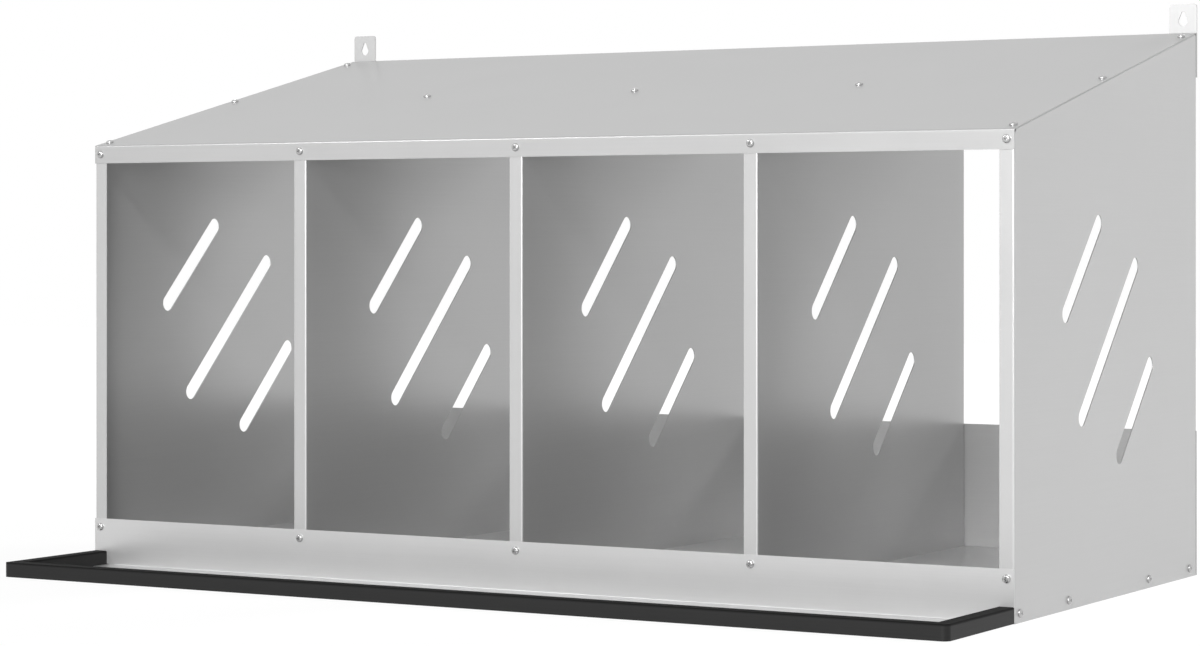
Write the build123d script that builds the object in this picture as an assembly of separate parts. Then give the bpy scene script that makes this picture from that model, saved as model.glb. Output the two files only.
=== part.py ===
from build123d import *
import os
from math import atan2, cos, sin

# A wall-hung poultry nesting box of folded sheet steel, held together by machine screws.
# Millimetres. +X runs to the right, +Y to the back, +Z up. The pieces are drawn with Y = 0 on the
# front faces of the posts and are moved at the end so that the origin is the box's bottom centre.

# Box
WIDTH = 1060.0               # over the outer faces of the two side panels
BODY_DEPTH = 490.0           # front faces of the posts to rear faces of the rear flanges
FRONT_HEIGHT = 450.0         # top of the roof at its front fold
REAR_HEIGHT = 565.0          # top of the roof at its rear fold
COMPARTMENTS = 4

# Sheet and folds
SHEET = 1.0                  # sheet thickness
BEND_INSIDE = 1.0            # inside radius of every fold
FLANGE = 15.0                # width of the flanges on the side panels and dividers
CORNER_RELIEF = 3.0          # flanges stop this far from a folded corner

# Roof, floor, back and tray
ROOF_FRONT_FLANGE = 19.0
ROOF_REAR_FLANGE = 47.0
FLOOR_HEIGHT = 18.0          # top of the floor
BACK_PANEL_HEIGHT = 150.0
TRAY_DEPTH = 150.0           # front faces of the posts to the front of the edge guard
TRAY_UPSTAND = 50.0          # height of the tray's rear wall

# Edge guard on the tray's lips
GUARD_WIDTH = 16.0
GUARD_TOP = 15.5             # top of the guard above the ground
GUARD_LIFT = 0.5             # its outer leg ends this far above the ground
GUARD_COVER = 4.0            # rubber above the lip
GUARD_SLIT_CLEARANCE = 0.1   # between the lip and each side of the slit
GUARD_EDGE_RADIUS = 1.5      # long top edges
GUARD_CORNER_RADIUS = 7.0    # outer corners in plan

# Ventilation slots in the side panels and dividers
SLOT_WIDTH = 17.5
SLOT_LONG = 220.0            # middle slot, end to end
SLOT_SHORT = 138.0           # slots on each side of it
SLOT_PITCH = 100.0           # between the slots' centre lines
SLOT_ANGLE = 45.0            # rise towards the back
SLOT_CENTRE_Y = 238.0        # middle slot's centre behind the posts' front faces
SLOT_CENTRE_Z = 251.0

# Hanging brackets
BRACKET_WIDTH = 30.0
BRACKET_THICKNESS = 2.0
BRACKET_RISE = 30.0          # above the rear edge of the roof
BRACKET_CORNER = 3.0
KEYHOLE_DROP = 18.0          # centre of the wide end below the bracket's top
KEYHOLE_RISE = 8.0           # centre of the narrow end above the wide end's
KEYHOLE_WIDE = 10.0          # diameters
KEYHOLE_NARROW = 4.0

# Screws and nuts
SCREW_DIAMETER = 4.0
SCREW_STANDOUT = 2.8         # shank past the nut
SCREW_POINT = 0.4            # chamfer at the end
HEAD_DIAMETER = 8.0
HEAD_HEIGHT = 2.4
HEAD_ROUND = 1.7
RECESS_SPAN = 4.2            # cross recess, tip to tip
RECESS_WING = 1.1
RECESS_DEPTH = 1.4
NUT_ACROSS_FLATS = 7.0
NUT_HEIGHT = 3.2
NUT_CHAMFER = 0.5
HOLE_CLEARANCE = 0.5         # screw hole over screw, on the diameter
NUT_CLEARANCE = 0.1          # nut's bore over screw, on the diameter
TURN_STEP = 25.0             # each screw of a row comes to rest this much further round

# Screw rows
ROOF_ROW_FRONT = 15.0        # first roof screw behind the posts' front faces
ROOF_ROW_REAR = 25.0         # last roof screw before the rear flanges
FLOOR_ROW_FRONT = 12.0
FLOOR_ROW_REAR = 22.0
FLOOR_ROW_STEP = 120.0       # end screw to its neighbour
TRAY_ROW_DROP = 9.0          # below the top of the tray's upstand
BACK_ROW_DROP = 10.0         # upper row, below the top of the back panel
BACK_ROW_RISE = 12.0         # lower row, above the floor
BRACKET_ROW_DROP = 13.0      # upper screw, below the rear edge of the roof
BRACKET_ROW_RISE = 10.0      # lower screw, above the bracket's lower end

# Outside radius of every fold, and how far a fold laps onto the sheets that it joins
BEND_RADIUS = BEND_INSIDE + SHEET
LAP = 2 * BEND_RADIUS

# The roof's slope, and the line of its top face through the two folds
SLOPE = atan2(REAR_HEIGHT - FRONT_HEIGHT, BODY_DEPTH + 2 * SHEET)
UPHILL = Vector(0, cos(SLOPE), sin(SLOPE))
ROOF_NORMAL = Vector(0, -sin(SLOPE), cos(SLOPE))

# Posts: the front flanges of the side panels and dividers, evenly spaced
POST_PITCH = (WIDTH - FLANGE) / COMPARTMENTS
POSTS = [(i - COMPARTMENTS / 2) * POST_PITCH for i in range(COMPARTMENTS + 1)]
DIVIDERS = POSTS[1:-1]

# The tray's lips stand in the middle of the guard's width
LIP_INSET = (GUARD_WIDTH - SHEET) / 2
LIP_HEIGHT = GUARD_TOP - GUARD_COVER
LIP_FRONT = -(TRAY_DEPTH - LIP_INSET)
LIP_SIDE = WIDTH / 2 - LIP_INSET

# Rear faces of the layers behind the rear flanges
ROOF_REAR_FACE = BODY_DEPTH + SHEET
BRACKET_REAR_FACE = ROOF_REAR_FACE + BRACKET_THICKNESS
BRACKET_BOTTOM = REAR_HEIGHT - ROOF_REAR_FLANGE

# The whole depth runs from the guard to the heads of the bracket screws
OVERALL_DEPTH = TRAY_DEPTH + BRACKET_REAR_FACE + HEAD_HEIGHT
TO_ORIGIN = Pos(0, TRAY_DEPTH - OVERALL_DEPTH / 2, 0)


def roof_top(y):
    """Height of the roof's top face."""
    return FRONT_HEIGHT + (y + SHEET) * sin(SLOPE) / cos(SLOPE)


def roof_underside(y, depth=0.0):
    """Height of the roof's lower face, or of a line that lies deeper under it."""
    return roof_top(y) - (SHEET + depth) / cos(SLOPE)


# Folded sheet

def left_of(points, distance):
    """The polyline moved to its left, with its corners kept sharp."""
    normals = []
    for start, end in zip(points, points[1:]):
        run = (end - start).normalized()
        normals.append(Vector(-run.Y, run.X))
    before = [normals[0]] + normals
    after = normals + [normals[-1]]
    return [p + (a + b) * (distance / (1 + a.dot(b))) for p, a, b in zip(points, before, after)]


def folded(points, plane, length):
    """A sheet whose outer face follows the points, with its thickness on their left."""
    outer = [Vector(*point) for point in points]
    inner = left_of(outer, SHEET)
    outline = FilletPolyline(*outer, radius=BEND_RADIUS).edges()
    outline += FilletPolyline(*inner, radius=BEND_INSIDE).edges()
    outline += [Line(outer[0], inner[0]), Line(outer[-1], inner[-1])]
    return extrude(plane * make_face(outline), length, dir=plane.z_dir)


def plate(outline, plane, thickness):
    """A flat sheet, thickened along the plane's normal."""
    return extrude(plane * make_face(Polyline(*outline, close=True)), thickness, dir=plane.z_dir)


def mirrored(piece):
    """The same piece for the other end of the box."""
    return mirror(piece, about=Plane.YZ)


# Fasteners: each place is a plane on the outer face of its sheets, looking out along the screw

def facing(x, y, z, normal):
    across = (1, 0, 0) if normal.X == 0 else (0, 1, 0)
    return Plane(origin=(x, y, z), x_dir=across, z_dir=normal)


ROOF_MIDDLE = (ROOF_ROW_FRONT + BODY_DEPTH - ROOF_ROW_REAR) / 2
ROOF_ROW = [ROOF_ROW_FRONT, ROOF_MIDDLE, BODY_DEPTH - ROOF_ROW_REAR]
FLOOR_LAST = BODY_DEPTH - FLOOR_ROW_REAR
FLOOR_ROW = [FLOOR_ROW_FRONT, FLOOR_ROW_FRONT + FLOOR_ROW_STEP, FLOOR_LAST - FLOOR_ROW_STEP, FLOOR_LAST]
BACK_ROWS = [FLOOR_HEIGHT + BACK_ROW_RISE, BACK_PANEL_HEIGHT - BACK_ROW_DROP]
BRACKET_ROWS = [BRACKET_BOTTOM + BRACKET_ROW_RISE, REAR_HEIGHT - BRACKET_ROW_DROP]
RIGHT = Vector(1, 0, 0)
BACK = Vector(0, 1, 0)


def roof_places(x, rows):
    return [facing(x, y, roof_top(y), ROOF_NORMAL) for y in rows]


def front_places(z):
    return [facing(x, -SHEET, z, -BACK) for x in POSTS]


def rear_places(columns, y, heights):
    return [facing(x, y, z, BACK) for x in columns for z in heights]


def floor_places(x, normal):
    return [facing(x, y, FLOOR_HEIGHT / 2, normal) for y in FLOOR_ROW]


PLACES = {
    "roof_front": front_places(FRONT_HEIGHT - ROOF_FRONT_FLANGE / 2),
    "tray": front_places(TRAY_UPSTAND - TRAY_ROW_DROP),
    "roof_left": roof_places(POSTS[0], ROOF_ROW),
    "roof_right": roof_places(POSTS[-1], ROOF_ROW),
    "roof_divider": [place for x in DIVIDERS for place in roof_places(x, [ROOF_MIDDLE])],
    "roof_rear": rear_places(DIVIDERS, ROOF_REAR_FACE, [REAR_HEIGHT - ROOF_REAR_FLANGE / 2]),
    "left_floor": floor_places(-WIDTH / 2, -RIGHT),
    "right_floor": floor_places(WIDTH / 2, RIGHT),
    "back_panel": rear_places(POSTS, ROOF_REAR_FACE, BACK_ROWS),
    "left_bracket": rear_places(POSTS[:1], BRACKET_REAR_FACE, BRACKET_ROWS),
    "right_bracket": rear_places(POSTS[-1:], BRACKET_REAR_FACE, BRACKET_ROWS),
}
BRACKETS = ["left_bracket", "right_bracket"]
ROOF_GROUPS = ["roof_front", "roof_left", "roof_right", "roof_divider", "roof_rear"] + BRACKETS


def grip(group):
    """Thickness of the sheets under a screw's head."""
    return 2 * SHEET + (BRACKET_THICKNESS if group in BRACKETS else 0)


def drilled(sheet, groups):
    """The sheet with the clearance holes of these groups of screws."""
    radius = (SCREW_DIAMETER + HOLE_CLEARANCE) / 2
    for group in groups:
        drill = Cylinder(radius, 2 * (grip(group) + SHEET))
        sheet -= [place * drill for place in PLACES[group]]
    return sheet


def screw(grip_length):
    """Pan head screw with a cross recess: head above the sheets, shank below."""
    head = Cylinder(HEAD_DIAMETER / 2, HEAD_HEIGHT, align=(Align.CENTER, Align.CENTER, Align.MIN))
    head = fillet(head.edges().group_by(Axis.Z)[-1], HEAD_ROUND)
    length = grip_length + NUT_HEIGHT + SCREW_STANDOUT
    shank = Cylinder(SCREW_DIAMETER / 2, length, align=(Align.CENTER, Align.CENTER, Align.MAX))
    shank = chamfer(shank.edges().group_by(Axis.Z)[0], SCREW_POINT)
    wing = Pos(0, 0, HEAD_HEIGHT) * Box(RECESS_SPAN, RECESS_WING, 2 * RECESS_DEPTH)
    return head + shank - wing - Rot(0, 0, 90) * wing


def nut(grip_length):
    """Hexagon nut, drawn up against the far side of the sheets."""
    hexagon = RegularPolygon(NUT_ACROSS_FLATS / 2, 6, major_radius=False)
    body = extrude(hexagon, -NUT_HEIGHT)
    across_corners = NUT_ACROSS_FLATS * 2 / 3**0.5
    blank = Cylinder(across_corners / 2, NUT_HEIGHT, align=(Align.CENTER, Align.CENTER, Align.MAX))
    body &= chamfer(blank.edges().group_by(Axis.Z)[0], NUT_CHAMFER)
    body -= Cylinder((SCREW_DIAMETER + NUT_CLEARANCE) / 2, 3 * NUT_HEIGHT)
    return Pos(0, 0, -grip_length) * body


# Side panels and dividers

def upright(bottom, outer_x):
    """Web with its flanges turned left along the front, the roof line and the back."""
    front, rear = BEND_RADIUS, BODY_DEPTH - BEND_RADIUS
    web = plate(
        [
            (front, bottom),
            (rear, bottom),
            (rear, roof_underside(rear, BEND_RADIUS)),
            (front, roof_underside(front, BEND_RADIUS)),
        ],
        Plane.YZ.offset(-SHEET),
        SHEET,
    )
    base = Plane.XY.offset(bottom)
    front_height = roof_underside(0) - CORNER_RELIEF - bottom
    web += folded([(-FLANGE, 0), (0, 0), (0, LAP)], base, front_height)
    rear_height = roof_underside(BODY_DEPTH) - CORNER_RELIEF - bottom
    rear_fold = [(0, BODY_DEPTH - LAP), (0, BODY_DEPTH), (-FLANGE, BODY_DEPTH)]
    web += folded(rear_fold, base, rear_height)

    top_end = BODY_DEPTH - CORNER_RELIEF
    downhill = Plane(origin=(0, top_end, roof_underside(top_end)), x_dir=(1, 0, 0), z_dir=-UPHILL)
    top_length = (top_end - CORNER_RELIEF) / cos(SLOPE)
    web += folded([(0, -LAP), (0, 0), (-FLANGE, 0)], downhill, top_length)

    for step, length in ((-1, SLOT_SHORT), (0, SLOT_LONG), (1, SLOT_SHORT)):
        middle = Pos(SLOT_CENTRE_Y, SLOT_CENTRE_Z) * Rot(0, 0, SLOT_ANGLE) * Pos(0, -step * SLOT_PITCH)
        slot = Plane.YZ * middle * SlotOverall(length, SLOT_WIDTH)
        web -= extrude(slot, 2 * SHEET, both=True)
    return Pos(outer_x, 0, 0) * web


def right_side_panel():
    groups = ["roof_front", "tray", "roof_right", "right_floor", "back_panel", "right_bracket"]
    return drilled(upright(0, WIDTH / 2), groups)


def divider(x):
    wall = upright(FLOOR_HEIGHT, x + FLANGE / 2)
    return drilled(wall, ["roof_front", "tray", "roof_divider", "roof_rear", "back_panel"])


# Roof, floor, back and tray

def roof_panel():
    """One sheet, folded down at the front over the posts and at the back over the rear flanges."""
    fold_line = [
        (ROOF_REAR_FACE, REAR_HEIGHT - ROOF_REAR_FLANGE),
        (ROOF_REAR_FACE, REAR_HEIGHT),
        (-SHEET, FRONT_HEIGHT),
        (-SHEET, FRONT_HEIGHT - ROOF_FRONT_FLANGE),
    ]
    return drilled(folded(fold_line, Plane.YZ.offset(-WIDTH / 2), WIDTH), ROOF_GROUPS)


def floor_pan():
    """Flat floor between the side panels, with a flange turned down on each edge."""
    side, front, rear = WIDTH / 2 - SHEET, SHEET, BODY_DEPTH - SHEET
    inner = side - BEND_RADIUS
    corners = [(-inner, front + BEND_RADIUS), (inner, front + BEND_RADIUS)]
    corners += [(inner, rear - BEND_RADIUS), (-inner, rear - BEND_RADIUS)]
    pan = plate(corners, Plane.XY.offset(FLOOR_HEIGHT - SHEET), SHEET)

    across = Plane.YZ.offset(CORNER_RELIEF - side)
    long_edge = 2 * (side - CORNER_RELIEF)
    pan += folded([(front + LAP, FLOOR_HEIGHT), (front, FLOOR_HEIGHT), (front, 0)], across, long_edge)
    pan += folded([(rear, 0), (rear, FLOOR_HEIGHT), (rear - LAP, FLOOR_HEIGHT)], across, long_edge)

    along = Plane.XZ.offset(CORNER_RELIEF - rear)
    short_edge = rear - front - 2 * CORNER_RELIEF
    right_fold = folded([(side, 0), (side, FLOOR_HEIGHT), (side - LAP, FLOOR_HEIGHT)], along, short_edge)
    pan += [right_fold, mirrored(right_fold)]
    return drilled(pan, ["left_floor", "right_floor"])


def back_panel():
    """Low sheet across the rear flanges."""
    half = WIDTH / 2
    corners = [(-half, 0), (half, 0), (half, BACK_PANEL_HEIGHT), (-half, BACK_PANEL_HEIGHT)]
    return drilled(plate(corners, Plane.XZ.offset(-ROOF_REAR_FACE), SHEET), ["back_panel"])


def landing_tray():
    """Upstand on the posts, shelf in front of it, and a lip on each free edge for the guard."""
    half = WIDTH / 2
    wall = [(-half, BEND_RADIUS), (half, BEND_RADIUS), (half, TRAY_UPSTAND), (-half, TRAY_UPSTAND)]
    tray = plate(wall, Plane.XZ, SHEET)

    inner, front = LIP_SIDE - BEND_RADIUS, LIP_FRONT + BEND_RADIUS
    shelf = [(-inner, front), (inner, front), (inner, -BEND_RADIUS), (-inner, -BEND_RADIUS)]
    tray += plate(shelf, Plane.XY, SHEET)

    between_guards = half - GUARD_WIDTH - CORNER_RELIEF
    heel = [(-LAP, 0), (0, 0), (0, LAP)]
    tray += folded(heel, Plane.YZ.offset(-between_guards), 2 * between_guards)

    front_run = LIP_SIDE - CORNER_RELIEF
    front_lip = [(LIP_FRONT, LIP_HEIGHT), (LIP_FRONT, 0), (LIP_FRONT + LAP, 0)]
    tray += folded(front_lip, Plane.YZ.offset(-front_run), 2 * front_run)

    side_run = -LIP_FRONT - CORNER_RELIEF - LAP
    side_lip = [(LIP_SIDE - LAP, 0), (LIP_SIDE, 0), (LIP_SIDE, LIP_HEIGHT)]
    right_lip = folded(side_lip, Plane.XZ.offset(LAP), side_run)
    tray += [right_lip, mirrored(right_lip)]
    return drilled(tray, ["tray"])


# Edge guard

def guard_profile():
    """Section of the guard: distance in from its outer face, and height."""
    slit_outer = LIP_INSET - GUARD_SLIT_CLEARANCE
    slit_inner = LIP_INSET + SHEET + GUARD_SLIT_CLEARANCE
    ease = BEND_INSIDE + 2 * GUARD_SLIT_CLEARANCE
    section = make_face(
        Polyline(
            (0, GUARD_LIFT),
            (slit_outer, GUARD_LIFT),
            (slit_outer, LIP_HEIGHT),
            (slit_inner, LIP_HEIGHT),
            (slit_inner, SHEET + ease),
            (slit_inner + ease, SHEET),
            (GUARD_WIDTH, SHEET),
            (GUARD_WIDTH, GUARD_TOP),
            (0, GUARD_TOP),
            close=True,
        )
    )
    return fillet(section.vertices().group_by(Axis.Y)[-1], GUARD_EDGE_RADIUS)


def guard_outline():
    """Plan of the whole guard's outer faces, with its front corners rounded."""
    rear_room = 2 * TRAY_DEPTH
    block = Pos(0, rear_room / 2 - TRAY_DEPTH, 0) * Box(WIDTH, rear_room, 3 * GUARD_TOP)
    return fillet(block.edges().filter_by(Axis.Z).group_by(Axis.Y)[0], GUARD_CORNER_RADIUS)


def front_edge_guard():
    half = WIDTH / 2
    section = Plane(origin=(-half, -TRAY_DEPTH, 0), x_dir=(0, 1, 0), z_dir=(1, 0, 0))
    bar = extrude(section * guard_profile(), WIDTH, dir=section.z_dir)
    inside, rear = half - GUARD_WIDTH, GUARD_WIDTH - TRAY_DEPTH
    mitre = [(-half, -TRAY_DEPTH), (half, -TRAY_DEPTH), (inside, rear), (-inside, rear)]
    return bar & plate(mitre, Plane.XY, GUARD_TOP) & guard_outline()


def right_edge_guard():
    half = WIDTH / 2
    section = Plane(origin=(half, -TRAY_DEPTH, 0), x_dir=(-1, 0, 0), z_dir=(0, 1, 0))
    bar = extrude(section * guard_profile(), TRAY_DEPTH - SHEET, dir=section.z_dir)
    inside = half - GUARD_WIDTH
    mitre = [(half, -TRAY_DEPTH), (half, 0), (inside, 0), (inside, GUARD_WIDTH - TRAY_DEPTH)]
    return bar & plate(mitre, Plane.XY, GUARD_TOP) & guard_outline()


# Hanging brackets

def right_hanging_bracket():
    """Flat plate on the rear corner of the roof, with a teardrop keyhole for a wall screw."""
    height = ROOF_REAR_FLANGE + BRACKET_RISE
    x = (WIDTH - BRACKET_WIDTH) / 2
    outline = Pos(x, BRACKET_BOTTOM + height / 2) * Rectangle(BRACKET_WIDTH, height)
    outline = fillet(outline.vertices().group_by(Axis.Y)[-1], BRACKET_CORNER)
    wide_z = REAR_HEIGHT + BRACKET_RISE - KEYHOLE_DROP
    wide = Pos(x, wide_z) * Circle(KEYHOLE_WIDE / 2)
    narrow = Pos(x, wide_z + KEYHOLE_RISE) * Circle(KEYHOLE_NARROW / 2)
    outline -= make_hull((wide + narrow).edges())
    rear_face = Plane.XZ.offset(-BRACKET_REAR_FACE)
    bracket = extrude(rear_face * outline, BRACKET_THICKNESS, dir=rear_face.z_dir)
    return drilled(bracket, ["right_bracket"])


os.makedirs("parts", exist_ok=True)

right_panel = right_side_panel()
right_guard = right_edge_guard()
right_bracket = right_hanging_bracket()
pieces = {
    "left_side_panel": mirrored(right_panel),
    "right_side_panel": right_panel,
    "roof_panel": roof_panel(),
    "floor_pan": floor_pan(),
    "back_panel": back_panel(),
    "landing_tray": landing_tray(),
    "front_edge_guard": front_edge_guard(),
    "left_edge_guard": mirrored(right_guard),
    "right_edge_guard": right_guard,
    "left_hanging_bracket": mirrored(right_bracket),
    "right_hanging_bracket": right_bracket,
}
for number, x in enumerate(DIVIDERS, start=1):
    pieces[f"divider_{number}"] = divider(x)

for group, places in PLACES.items():
    one_screw = screw(grip(group))
    one_nut = nut(grip(group))
    turned = [place * Rot(0, 0, i * TURN_STEP) for i, place in enumerate(places)]
    pieces[f"{group}_screws"] = Compound(children=[place * one_screw for place in turned])
    pieces[f"{group}_nuts"] = Compound(children=[place * one_nut for place in turned])

for node, piece in pieces.items():
    export_step(TO_ORIGIN * piece, f"parts/{node}.step")
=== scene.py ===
import bpy
from math import ceil, cos, pi, radians, sin
from mathutils import Matrix, Vector


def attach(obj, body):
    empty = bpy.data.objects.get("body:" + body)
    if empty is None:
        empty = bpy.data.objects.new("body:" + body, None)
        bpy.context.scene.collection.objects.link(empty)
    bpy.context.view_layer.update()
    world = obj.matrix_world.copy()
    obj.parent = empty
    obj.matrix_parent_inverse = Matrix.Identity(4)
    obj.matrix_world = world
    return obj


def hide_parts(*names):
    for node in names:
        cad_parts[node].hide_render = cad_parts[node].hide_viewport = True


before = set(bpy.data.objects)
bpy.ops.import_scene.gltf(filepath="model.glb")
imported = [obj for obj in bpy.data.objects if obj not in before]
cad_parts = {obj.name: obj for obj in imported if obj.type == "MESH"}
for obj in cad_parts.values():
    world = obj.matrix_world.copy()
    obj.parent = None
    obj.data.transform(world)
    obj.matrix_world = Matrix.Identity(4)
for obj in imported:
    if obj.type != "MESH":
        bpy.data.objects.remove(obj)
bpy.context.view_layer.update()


# Side panels: the two ends of the box, of 1 mm sheet steel with a satin skin-passed finish.
# Each is one blank with three punched slots, folded inwards along the front, the roof line and
# the back. The roof, the tray, the floor and the back panel are screwed to its flanges and web.
STEEL_GREY = 0.5               # linear
STEEL_METALLIC = 0.57          # a thin oxide skin leaves the steel part mirror, part matt
STEEL_ROUGHNESS = 0.3
STEEL_SPECULAR = 0.1           # the oxide skin itself hardly shines
LINES_ACROSS = 900.0           # rolling lines to the metre
LINES_ALONG = 6.0              # breaks in a line to the metre
CLOUDS = 9.0                   # faint patches in the oxide skin to the metre
LINE_SHADE = 0.03              # swings of the grey
CLOUD_SHADE = 0.02
LINE_GLOSS = 0.04              # swings of the roughness
CLOUD_GLOSS = 0.05
LINE_DEPTH = 0.00001
LINE_STRENGTH = 0.25
NOISE_MIDDLE = 0.5             # a noise runs from 0 to 1 about this


class Wire:
    """A socket in a material's nodes. Sums and products of wires add Math nodes."""

    def __init__(self, tree, socket):
        self.tree = tree
        self.socket = socket

    def node(self, kind, settings, sockets, output=0):
        """Adds a node, sets it up, fills or links its sockets, and returns one of its outputs."""
        node = self.tree.nodes.new(kind)
        for name, value in settings.items():
            setattr(node, name, value)
        for name, value in sockets.items():
            if isinstance(value, Wire):
                self.tree.links.new(value.socket, node.inputs[name])
            else:
                node.inputs[name].default_value = value
        return Wire(self.tree, node.outputs[output])

    def maths(self, operation, first, second):
        return self.node("ShaderNodeMath", {"operation": operation}, {0: first, 1: second})

    def __add__(self, other):
        return self.maths("ADD", self, other)

    def __sub__(self, other):
        return self.maths("SUBTRACT", self, other)

    def __rsub__(self, other):
        return self.maths("SUBTRACT", other, self)

    def __mul__(self, other):
        return self.maths("MULTIPLY", self, other)

    __radd__ = __add__
    __rmul__ = __mul__

    def swing(self, size):
        """A noise as a swing of this size, half of it to each side of zero."""
        return (self - NOISE_MIDDLE) * size

    def grey(self):
        """The same value on all three channels of a colour."""
        return self.node("ShaderNodeCombineColor", {}, {"Red": self, "Green": self, "Blue": self})

    def into(self, node, name):
        """Links this wire to a socket of a shader or an output."""
        self.tree.links.new(self.socket, node.inputs[name])


def new_finish(name):
    """A new material, its shader, and the place on the object as a wire."""
    material = bpy.data.materials.new(name)
    material.use_nodes = True
    tree = material.node_tree
    coordinates = tree.nodes.new("ShaderNodeTexCoord")
    return material, tree.nodes["Principled BSDF"], Wire(tree, coordinates.outputs["Object"])


def drawn_lines(place, along, shift, across_scale, along_scale):
    """Noise in fine lines along one axis. The shift gives each piece lines of its own."""
    scale = [across_scale] * 3
    scale["xyz".index(along)] = along_scale
    moved = {"Vector": place, "Location": (shift, shift, shift), "Scale": scale}
    stretched = place.node("ShaderNodeMapping", {}, moved)
    return place.node("ShaderNodeTexNoise", {}, {"Vector": stretched, "Scale": 1.0, "Detail": 3.0})


def sheet_steel(name, rolled_along, shift, grey=STEEL_GREY):
    """Satin sheet steel: fine rolling lines and faint clouds in its colour and its gloss."""
    material, shader, place = new_finish(name)
    lines = drawn_lines(place, rolled_along, shift, LINES_ACROSS, LINES_ALONG)
    clouds = place.node("ShaderNodeTexNoise", {}, {"Vector": place, "Scale": CLOUDS, "Detail": 4.0})
    # A grey given for a piece is painted: darker on the roof as painted shade, lighter on the tray and
    # brackets as painted light.
    shade = grey + lines.swing(LINE_SHADE) + clouds.swing(CLOUD_SHADE)
    shade.grey().into(shader, "Base Color")
    shader.inputs["Metallic"].default_value = STEEL_METALLIC
    shader.inputs["Specular IOR Level"].default_value = STEEL_SPECULAR
    roughness = STEEL_ROUGHNESS + lines.swing(LINE_GLOSS) + clouds.swing(CLOUD_GLOSS)
    roughness.into(shader, "Roughness")
    relief = {"Height": lines, "Distance": LINE_DEPTH, "Strength": LINE_STRENGTH}
    place.node("ShaderNodeBump", {}, relief).into(shader, "Normal")
    return material


def dress(node, finish):
    """Gives a CAD node its finish."""
    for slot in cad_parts[node].material_slots:
        slot.material = finish


dress("left_side_panel", sheet_steel("left_side_steel", "y", shift=0.0))
dress("right_side_panel", sheet_steel("right_side_steel", "y", shift=3.1))


# Dividers: the three walls between the nests, with the same slots and the same sheet steel.
# Their front, top and rear flanges turn left. The front ones are the posts between the openings.
DIVIDERS = 3
for number in range(1, DIVIDERS + 1):
    dress(f"divider_{number}", sheet_steel(f"divider_steel_{number}", "y", shift=5.0 + number))


# Roof: one sheet over the whole box, sloping to the front so that hens don't roost on it.
# It is folded down over the posts at the front and over the rear flanges at the back.
# Painted shade: the roof's steel gets a darker grey than the other sheets, standing in for less light on
# it.
ROOF_PAINTED_SHADE_GREY = 0.46
dress("roof_panel", sheet_steel("roof_steel", "x", shift=11.0, grey=ROOF_PAINTED_SHADE_GREY))


# Floor pan: the nests' common floor, a flat sheet with all four edges folded down.
# Its short edges are screwed to the side panels, and the dividers stand on it.
dress("floor_pan", sheet_steel("floor_steel", "x", shift=13.0))


# Back panel: a low flat sheet that keeps the litter in. The back is open above it, and it is
# screwed to the rear flanges of the side panels and dividers.
dress("back_panel", sheet_steel("back_steel", "x", shift=17.0))


# Landing tray: the shelf in front of the nests, folded from one sheet with its upstand, which is
# screwed to the five posts, and with a low lip on each free edge that the edge guard grips.
# Painted light: the tray's steel gets a lighter grey than the other sheets, standing in for more light on
# the shelf.
TRAY_PAINTED_LIGHT_GREY = 0.57
dress("landing_tray", sheet_steel("tray_steel", "x", shift=19.0, grey=TRAY_PAINTED_LIGHT_GREY))


# Hanging brackets: two short strips of 2 mm steel, each with a teardrop keyhole for a wall screw.
# They stand above the rear corners of the roof and are cut across the rolling direction.
# Painted light: the brackets' steel gets a lighter grey than the other sheets, standing in for the brighter
# light on them.
BRACKET_PAINTED_LIGHT_GREY = 0.53
dress("left_hanging_bracket", sheet_steel("left_bracket_steel", "z", shift=23.0, grey=BRACKET_PAINTED_LIGHT_GREY))
dress("right_hanging_bracket", sheet_steel("right_bracket_steel", "z", shift=29.0, grey=BRACKET_PAINTED_LIGHT_GREY))


# Edge guard: black rubber extrusion in three mitred lengths, pushed over the tray's lips so that
# the hens don't land on a bare sheet edge. It shows the fine lines of its die along its length,
# and its top is rougher than its sides and painted darker, as painted shade.
RUBBER_GREY = 0.013
RUBBER_SPECULAR = 0.2
RUBBER_ROUGHNESS = 0.5
DIE_LINES_ACROSS = 1400.0
DIE_LINES_ALONG = 12.0
RUBBER_GRAIN = 2200.0          # grains to the metre
DIE_LINE_SHADE = 0.006
GRAIN_SHADE = 0.004
DIE_LINE_GLOSS = 0.15
GRAIN_GLOSS = 0.1
GRAIN_HEIGHT = 0.5             # against the die lines
RUBBER_DEPTH = 0.00006
RUBBER_STRENGTH = 0.4
# From this height up the guard's top is rougher, and also darker as painted shade.
SHADED_DULL_TOP_FROM = 0.013              # height where the duller top of the guard begins
SHADED_DULL_TOP_FULL = 0.015
DULL_GLOSS = 0.5               # more roughness there
# Painted shade: the grey taken off the top, where less light falls.
TOP_PAINTED_SHADE = 0.009             # less grey there


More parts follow.
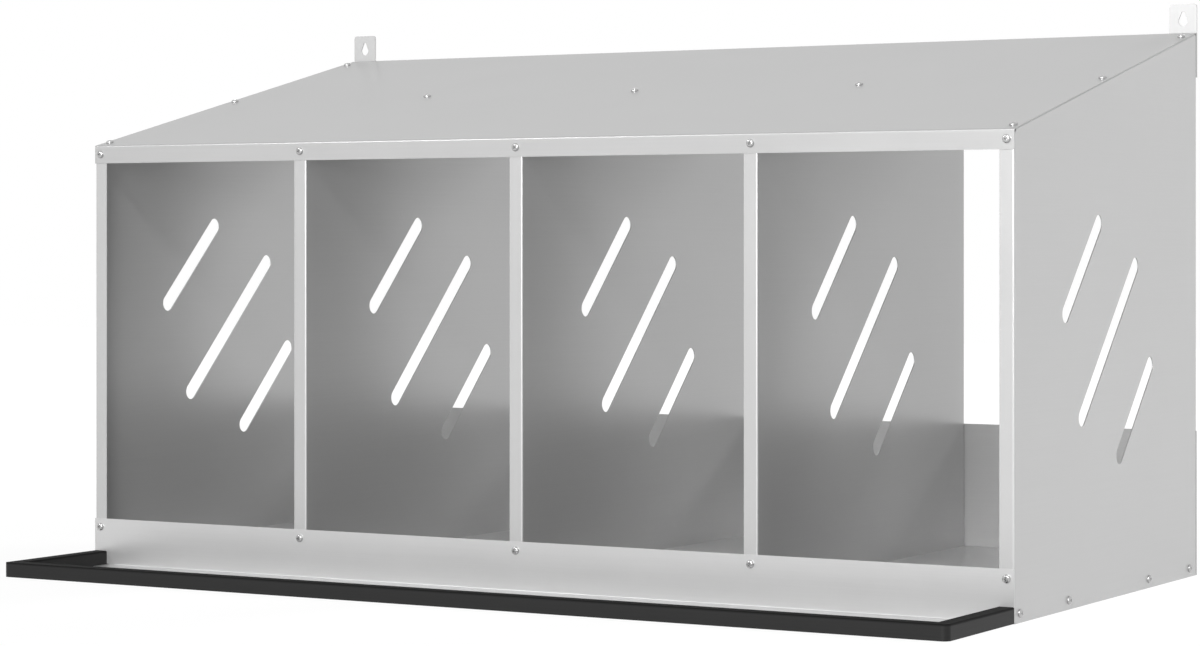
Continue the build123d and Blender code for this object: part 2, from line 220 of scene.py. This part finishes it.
def guard_rubber(name, along, shift):
    """Matt black rubber with die lines along its length, a fine grain and a rougher top, darkened there as
    painted shade.
    """
    material, shader, place = new_finish(name)
    lines = drawn_lines(place, along, shift, DIE_LINES_ACROSS, DIE_LINES_ALONG)
    grain = place.node("ShaderNodeTexNoise", {}, {"Vector": place, "Scale": RUBBER_GRAIN, "Detail": 2.0})
    up = place.node("ShaderNodeSeparateXYZ", {}, {"Vector": place}, "Z")
    fade = {"From Min": SHADED_DULL_TOP_FROM, "From Max": SHADED_DULL_TOP_FULL}
    top = place.node("ShaderNodeMapRange", {}, {"Value": up, **fade})
    shader.inputs["Specular IOR Level"].default_value = RUBBER_SPECULAR
    # The top is darkened here: painted shade.
    shade = RUBBER_GREY + lines.swing(DIE_LINE_SHADE) + grain.swing(GRAIN_SHADE) - top * TOP_PAINTED_SHADE
    shade.grey().into(shader, "Base Color")
    roughness = RUBBER_ROUGHNESS + lines.swing(DIE_LINE_GLOSS) + grain.swing(GRAIN_GLOSS) + top * DULL_GLOSS
    roughness.into(shader, "Roughness")
    height = lines + grain * GRAIN_HEIGHT
    relief = {"Height": height, "Distance": RUBBER_DEPTH, "Strength": RUBBER_STRENGTH}
    place.node("ShaderNodeBump", {}, relief).into(shader, "Normal")
    return material


dress("front_edge_guard", guard_rubber("front_guard_rubber", "x", shift=0.0))
dress("left_edge_guard", guard_rubber("left_guard_rubber", "y", shift=2.0))
dress("right_edge_guard", guard_rubber("right_guard_rubber", "y", shift=4.0))


# Screws: M4 pan head machine screws, headed cold with a cross recess and with a rolled thread.
# They are steel, bright zinc plated. One is modelled for each group, at the length of its shanks,
# and copied to every place of the group, and each copy has come to rest at a different turn.
HEAD_RADIUS = 0.004
HEAD_HEIGHT = 0.0024
HEAD_ROUND = 0.0017            # radius of its upper edge
HEAD_SIDES = 40
ROUND_STEPS = 7
RECESS_SPAN = 0.0042
RECESS_WING = 0.0011
RECESS_DEPTH = 0.0014
RECESS_TAPER = 0.55            # the floor of the recess against its mouth
THREAD_RADIUS = 0.002
THREAD_DEPTH = 0.0004
THREAD_PITCH = 0.0007
THREAD_STEPS = 24
SPARE_TURNS = 2                # of thread past each end of the shank, to be cut off
CREST = 0.15                   # flat crest of the thread, as a share of the pitch
NECK = 0.0005                  # the shank runs this far up into the head
POINT_SHRINK = 0.8             # the end of the thread is turned down to this share
SCREW_SPREAD = 0.016           # points of one screw are nearer to each other than this
TURN_STEP = radians(25)        # each screw of a group rests this much further round
MERGE = 1e-7                   # points nearer to each other than this become one
FACES_UP = 0.5                 # upward share of a normal, over which a face of the roof looks up
ZINC_GREY = 0.45
ZINC_ROUGHNESS = 0.24
ZINC_MOTTLE = 700.0            # spots to the metre
MOTTLE_SHADE = 0.12
MOTTLE_GLOSS = 0.16
SMOOTH_ANGLE = radians(35)


def select_points(piece, chosen):
    """Opens a piece in edit mode with only the points selected that chosen says yes to."""
    bpy.ops.object.mode_set(mode="EDIT")
    bpy.ops.mesh.select_mode(type="VERT")
    bpy.ops.mesh.select_all(action="DESELECT")
    bpy.ops.object.mode_set(mode="OBJECT")
    for point in piece.data.vertices:
        point.select = chosen(point.co)
    bpy.ops.object.mode_set(mode="EDIT")


def apply_place(piece):
    """Puts a piece's place, turn and scale into its mesh."""
    bpy.ops.object.select_all(action="DESELECT")
    piece.select_set(True)
    bpy.context.view_layer.objects.active = piece
    bpy.ops.object.transform_apply(location=True, rotation=True, scale=True)


def recess_blade(turn):
    """One of the two crossed blades of the punch that strikes the recess."""
    bpy.ops.object.select_all(action="DESELECT")
    top = (0, 0, HEAD_HEIGHT)
    size = (RECESS_SPAN, RECESS_WING, 2 * RECESS_DEPTH)
    bpy.ops.mesh.primitive_cube_add(size=1.0, location=top, rotation=(0, 0, turn), scale=size)
    blade = bpy.context.object
    apply_place(blade)
    select_points(blade, lambda point: point.z < HEAD_HEIGHT)
    bpy.ops.transform.resize(value=(RECESS_TAPER, RECESS_TAPER, 1.0), center_override=(0, 0, 0))
    bpy.ops.object.mode_set(mode="OBJECT")
    return blade


def screw_head():
    """A low cylinder with its upper edge rounded over and the cross struck into it."""
    bpy.ops.object.select_all(action="DESELECT")
    middle = (0, 0, HEAD_HEIGHT / 2)
    bpy.ops.mesh.primitive_cylinder_add(
        vertices=HEAD_SIDES, radius=HEAD_RADIUS, depth=HEAD_HEIGHT, location=middle
    )
    head = bpy.context.object
    apply_place(head)
    select_points(head, lambda point: point.z > HEAD_HEIGHT / 2)
    bpy.ops.mesh.bevel(offset=HEAD_ROUND, segments=ROUND_STEPS, affect="EDGES")
    bpy.ops.object.mode_set(mode="OBJECT")
    for turn in (0.0, pi / 2):
        blade = recess_blade(turn)
        strike = head.modifiers.new("strike", "BOOLEAN")
        strike.operation = "DIFFERENCE"
        strike.object = blade
        bpy.context.view_layer.objects.active = head
        bpy.ops.object.modifier_apply(modifier=strike.name)
        bpy.data.objects.remove(blade)
    return head


def screw_shank(length):
    """A rolled thread: one pitch of its outline, wound up the shank and cut square at both ends."""
    root = THREAD_RADIUS - THREAD_DEPTH
    flank = THREAD_PITCH * (1 - CREST) / 2
    bpy.ops.object.select_all(action="DESELECT")
    bpy.ops.mesh.primitive_plane_add(size=THREAD_PITCH, location=(0, 0, 0))
    shank = bpy.context.object
    bpy.ops.object.mode_set(mode="EDIT")
    bpy.ops.mesh.select_mode(type="VERT")
    bpy.ops.mesh.select_all(action="SELECT")
    bpy.ops.mesh.merge(type="CENTER")
    bpy.ops.transform.translate(value=(root, 0, -length - SPARE_TURNS * THREAD_PITCH))
    for outwards, upwards in ((THREAD_DEPTH, flank), (0, THREAD_PITCH * CREST), (-THREAD_DEPTH, flank)):
        bpy.ops.mesh.extrude_region_move(TRANSFORM_OT_translate={"value": (outwards, 0, upwards)})
    bpy.ops.object.mode_set(mode="OBJECT")

    winding = shank.modifiers.new("winding", "SCREW")
    winding.axis = "Z"
    winding.angle = 2 * pi
    winding.screw_offset = THREAD_PITCH
    winding.iterations = ceil(length / THREAD_PITCH) + 2 * SPARE_TURNS
    winding.steps = THREAD_STEPS
    winding.render_steps = THREAD_STEPS
    bpy.ops.object.modifier_apply(modifier=winding.name)

    bpy.ops.object.mode_set(mode="EDIT")
    bpy.ops.mesh.select_all(action="SELECT")
    bpy.ops.mesh.remove_doubles(threshold=MERGE)
    for height, way in ((NECK, 1), (-length, -1)):
        bpy.ops.mesh.select_all(action="SELECT")
        bpy.ops.mesh.bisect(
            plane_co=(0, 0, height), plane_no=(0, 0, way), clear_outer=True, use_fill=True, threshold=MERGE
        )
    bpy.ops.object.mode_set(mode="OBJECT")
    select_points(shank, lambda point: point.z < MERGE - length)
    bpy.ops.transform.resize(value=(POINT_SHRINK, POINT_SHRINK, 1.0), center_override=(0, 0, -length))
    bpy.ops.mesh.select_all(action="SELECT")
    bpy.ops.mesh.normals_make_consistent(inside=False)
    bpy.ops.object.mode_set(mode="OBJECT")
    return shank


def join(pieces, name):
    """Makes one object of several and puts its place into its mesh."""
    bpy.ops.object.select_all(action="DESELECT")
    for piece in pieces:
        piece.select_set(True)
    bpy.context.view_layer.objects.active = pieces[0]
    bpy.ops.object.join()
    joined = bpy.context.object
    joined.name = name
    apply_place(joined)
    return joined


def zinc_plate(name):
    """Bright zinc plate, slightly mottled."""
    material, shader, place = new_finish(name)
    mottle = place.node("ShaderNodeTexNoise", {}, {"Vector": place, "Scale": ZINC_MOTTLE, "Detail": 3.0})
    shade = ZINC_GREY + mottle.swing(MOTTLE_SHADE)
    shade.grey().into(shader, "Base Color")
    shader.inputs["Metallic"].default_value = 1.0
    roughness = ZINC_ROUGHNESS + mottle.swing(MOTTLE_GLOSS)
    roughness.into(shader, "Roughness")
    return material


def screw_places(node, outward):
    """Where each screw of a CAD group stands, head outwards, and how long its shank is."""
    screws = []
    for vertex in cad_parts[node].data.vertices:
        for points in screws:
            if (vertex.co - points[0]).length < SCREW_SPREAD:
                points.append(vertex.co)
                break
        else:
            screws.append([vertex.co])
    upright = Vector(outward).to_track_quat("Z", "Y").to_matrix()
    places = []
    for number, points in enumerate(screws):
        turned = [upright.inverted() @ point for point in points]
        low = Vector([min(point[axis] for point in turned) for axis in range(3)])
        high = Vector([max(point[axis] for point in turned) for axis in range(3)])
        middle = (low + high) / 2
        seat = upright @ Vector((middle.x, middle.y, high.z - HEAD_HEIGHT))
        spin = Matrix.Rotation(number * TURN_STEP, 4, "Z")
        places.append(Matrix.Translation(seat) @ upright.to_4x4() @ spin)
    return places, high.z - HEAD_HEIGHT - low.z


def roof_normal():
    """Square to the roof's slope: the normal of its largest face that looks up."""
    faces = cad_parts["roof_panel"].data.polygons
    upper = [face for face in faces if face.normal.z > FACES_UP]
    return max(upper, key=lambda face: face.area).normal.copy()


FRONT = (0, -1, 0)
BACK = (0, 1, 0)
LEFT = (-1, 0, 0)
RIGHT = (1, 0, 0)
ROOF = roof_normal()
SCREW_FACES = {
    "roof_front": FRONT,
    "tray": FRONT,
    "roof_left": ROOF,
    "roof_right": ROOF,
    "roof_divider": ROOF,
    "roof_rear": BACK,
    "left_floor": LEFT,
    "right_floor": RIGHT,
    "back_panel": BACK,
    "left_bracket": BACK,
    "right_bracket": BACK,
}
zinc = zinc_plate("bright_zinc")
for group, outward in SCREW_FACES.items():
    places, shank_length = screw_places(f"{group}_screws", outward)
    pattern = join([screw_head(), screw_shank(shank_length)], "screw_pattern")
    bpy.ops.object.shade_smooth_by_angle(angle=SMOOTH_ANGLE)
    copies = []
    for place in places:
        copy = bpy.data.objects.new("screw", pattern.data.copy())
        copy.matrix_world = place
        bpy.context.scene.collection.objects.link(copy)
        copies.append(copy)
    bpy.data.objects.remove(pattern)
    screws = join(copies, f"{group}_pan_head_screws")
    screws.data.materials.clear()
    screws.data.materials.append(zinc)
    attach(screws, "root")
    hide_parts(f"{group}_screws")


# Nuts: M4 hexagon nuts on the inner ends of the screws, of steel with the same bright zinc plate.
# Each is drawn up against the inner sheet, with its chamfered face showing.
nut_zinc = zinc_plate("nut_zinc")
for group in SCREW_FACES:
    dress(f"{group}_nuts", nut_zinc)


# Floor: plain white paper, laid flat. It keeps the object's soft shadow close by and fades into the
# white of the background further out.
FLOOR_SIZE = 14.0
SHADOW_SHARE = 0.12            # of the floor's white that the lamps give, so that shadows show
FLOOR_GLOW = 1.04
SHADOW_NEAR = 0.75             # shadows fade out between these distances from the middle
SHADOW_FAR = 1.6
PAPER = (0.95, 0.95, 0.95, 1.0)
WHITE = (1.0, 1.0, 1.0, 1.0)


def looked_at(tree):
    """1 for a ray that shows the background: from the camera, off gloss or through glass."""
    light_path = tree.nodes.new("ShaderNodeLightPath")
    names = ("Is Camera Ray", "Is Glossy Ray", "Is Transmission Ray")
    camera, gloss, clear = (Wire(tree, light_path.outputs[name]) for name in names)
    return camera.maths("MINIMUM", camera + gloss + clear, 1.0)


def white_floor():
    """White paper for the light that falls on it, and mostly plain white where it is looked at."""
    material = bpy.data.materials.new("white_floor")
    material.use_nodes = True
    tree = material.node_tree
    tree.nodes.clear()
    seen = looked_at(tree)
    place = Wire(tree, tree.nodes.new("ShaderNodeTexCoord").outputs["Object"])
    distance = place.node("ShaderNodeVectorMath", {"operation": "LENGTH"}, {"Vector": place}, "Value")
    fade = {"From Min": SHADOW_NEAR, "From Max": SHADOW_FAR, "To Min": SHADOW_SHARE, "To Max": 0.0}
    share = place.node("ShaderNodeMapRange", {}, {"Value": distance, **fade})
    paper = place.node("ShaderNodeBsdfDiffuse", {}, {"Color": PAPER})
    glow = place.node("ShaderNodeEmission", {}, {"Color": WHITE, "Strength": FLOOR_GLOW})
    plain = place.node("ShaderNodeMixShader", {}, {"Fac": share, 1: glow, 2: paper})
    surface = place.node("ShaderNodeMixShader", {}, {"Fac": seen, 1: paper, 2: plain})
    surface.into(tree.nodes.new("ShaderNodeOutputMaterial"), "Surface")
    return material


bpy.ops.object.select_all(action="DESELECT")
bpy.ops.mesh.primitive_plane_add(size=FLOOR_SIZE, location=(0, 0, 0))
floor = bpy.context.object
floor.name = "floor"
floor.data.materials.append(white_floor())


# Light: white all round for what is looked at, and a little even light for matt surfaces. Softboxes
# stand in front, at both sides and behind, the key lamp throws the roof's shadow into the nests, and
# a small lamp at the right shines through the slots.
EVEN_LIGHT = 0.02
AIM = Vector((0, 0, 0.25))     # near the middle of the nests
LAMPS = {                      # degrees round from the front to the right, up, metres away, across, watts
    "front_softbox": (12, 10, 4.0, 0.9, 71),
    "upper_softbox": (0, 22, 4.0, 0.9, 39),
    "key_lamp": (20, 35, 4.0, 0.5, 40),
    "left_softbox": (-35, 25, 4.0, 0.9, 25),
    "right_softbox": (92, 10, 2.5, 0.9, 19),
    "right_lamp": (90, 30, 4.0, 0.3, 6),
    "rear_softbox": (165, 28, 4.0, 1.2, 105),
}
UNMIRRORED = ("right_softbox", "right_lamp", "rear_softbox")  # seen in the roof, they would burn it out


def direction(round_degrees, up_degrees):
    """The way from the box to a light."""
    turn, rise = radians(round_degrees), radians(up_degrees)
    return Vector((sin(turn) * cos(rise), -cos(turn) * cos(rise), sin(rise)))


world = bpy.data.worlds.new("studio")
bpy.context.scene.world = world
world.use_nodes = True
sky = world.node_tree
background = sky.nodes["Background"]
background.inputs["Color"].default_value = WHITE
seen = looked_at(sky)
brightness = seen + (1.0 - seen) * EVEN_LIGHT
brightness.into(background, "Strength")

for name, (round_degrees, up_degrees, away, across, watts) in LAMPS.items():
    lamp = bpy.data.lights.new(name, "AREA")
    lamp.shape = "DISK"
    lamp.size = across
    lamp.energy = watts
    holder = bpy.data.objects.new(name, lamp)
    way = direction(round_degrees, up_degrees)
    holder.location = AIM + way * away
    holder.rotation_euler = way.to_track_quat("Z", "Y").to_euler()
    holder.visible_glossy = name not in UNMIRRORED
    bpy.context.scene.collection.objects.link(holder)


# Camera: a long lens, held level a little above the middle of the box and well round to its right.
# The photograph is cut off-centre from such a level view, so the lens is shifted a little.
PICTURE_WIDTH = 1200           # the photograph's pixels
PICTURE_HEIGHT = 646
FOCAL_PIXELS = 3157.9
CENTRE_PIXEL = (590.8, 241.4)
SENSOR = 36.0
CAMERA_PLACE = (1.63498, -2.84214, 0.34727)
CAMERA_TURN = radians(30.132)  # to the left, towards the box
LEVEL = radians(90)
lens = bpy.data.cameras.new("camera")
lens.sensor_width = SENSOR
lens.lens = FOCAL_PIXELS / PICTURE_WIDTH * SENSOR
lens.shift_x = (PICTURE_WIDTH / 2 - CENTRE_PIXEL[0]) / PICTURE_WIDTH
lens.shift_y = (CENTRE_PIXEL[1] - PICTURE_HEIGHT / 2) / PICTURE_WIDTH
camera = bpy.data.objects.new("camera", lens)
camera.location = CAMERA_PLACE
camera.rotation_euler = (LEVEL, 0.0, CAMERA_TURN)
bpy.context.scene.collection.objects.link(camera)
bpy.context.scene.camera = camera
bpy.context.scene.view_settings.view_transform = "Standard"
